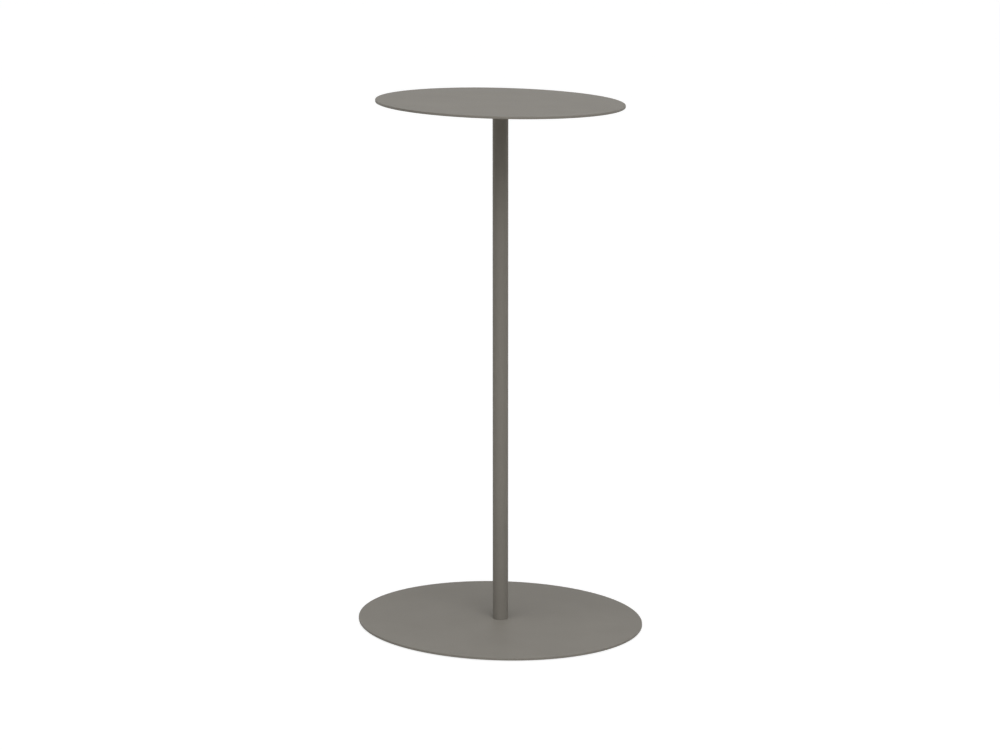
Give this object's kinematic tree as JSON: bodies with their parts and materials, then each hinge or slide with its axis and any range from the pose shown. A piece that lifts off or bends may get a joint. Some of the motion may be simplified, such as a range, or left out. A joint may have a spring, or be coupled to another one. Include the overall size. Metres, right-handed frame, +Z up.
{
  "type": "wine table",
  "caption": "Slim round wine table: a thin round metal top on a slender upright tube post that stands on a wider thin round metal base plate.",
  "frame": {"origin": "on the floor under the middle of the base, in the plane of the rubber feet's lower faces", "axes": "+Z up along the post; +X to the right and +Y away, as the picture is seen from the front"},
  "size_m": [0.35, 0.35, 0.645],
  "materials": {
    "powder_coat": "warm grey powder coat, low sheen, fine texture",
    "zinc_steel": "bright zinc plated",
    "coppered_steel": "thin copper flash on a steel weld stud",
    "plain_steel": "turned bright bar",
    "black_rubber": "matt, moulded"
  },
  "bodies": {
    "root": {"table_top": "powder_coat", "post_tube": "powder_coat", "base_plate": "powder_coat", "top_flange": "powder_coat", "flange_nut_1": "zinc_steel", "flange_nut_2": "zinc_steel", "flange_nut_3": "zinc_steel", "flange_nut_4": "zinc_steel", "flange_screw": "zinc_steel", "base_screw": "zinc_steel", "weld_stud_1": "coppered_steel", "weld_stud_2": "coppered_steel", "weld_stud_3": "coppered_steel", "weld_stud_4": "coppered_steel", "upper_plug": "plain_steel", "lower_plug": "plain_steel", "rubber_foot_1": "black_rubber", "rubber_foot_2": "black_rubber", "rubber_foot_3": "black_rubber", "rubber_foot_4": "black_rubber", "rubber_foot_5": "black_rubber", "rubber_foot_6": "black_rubber"}
  },
  "joints": []
}
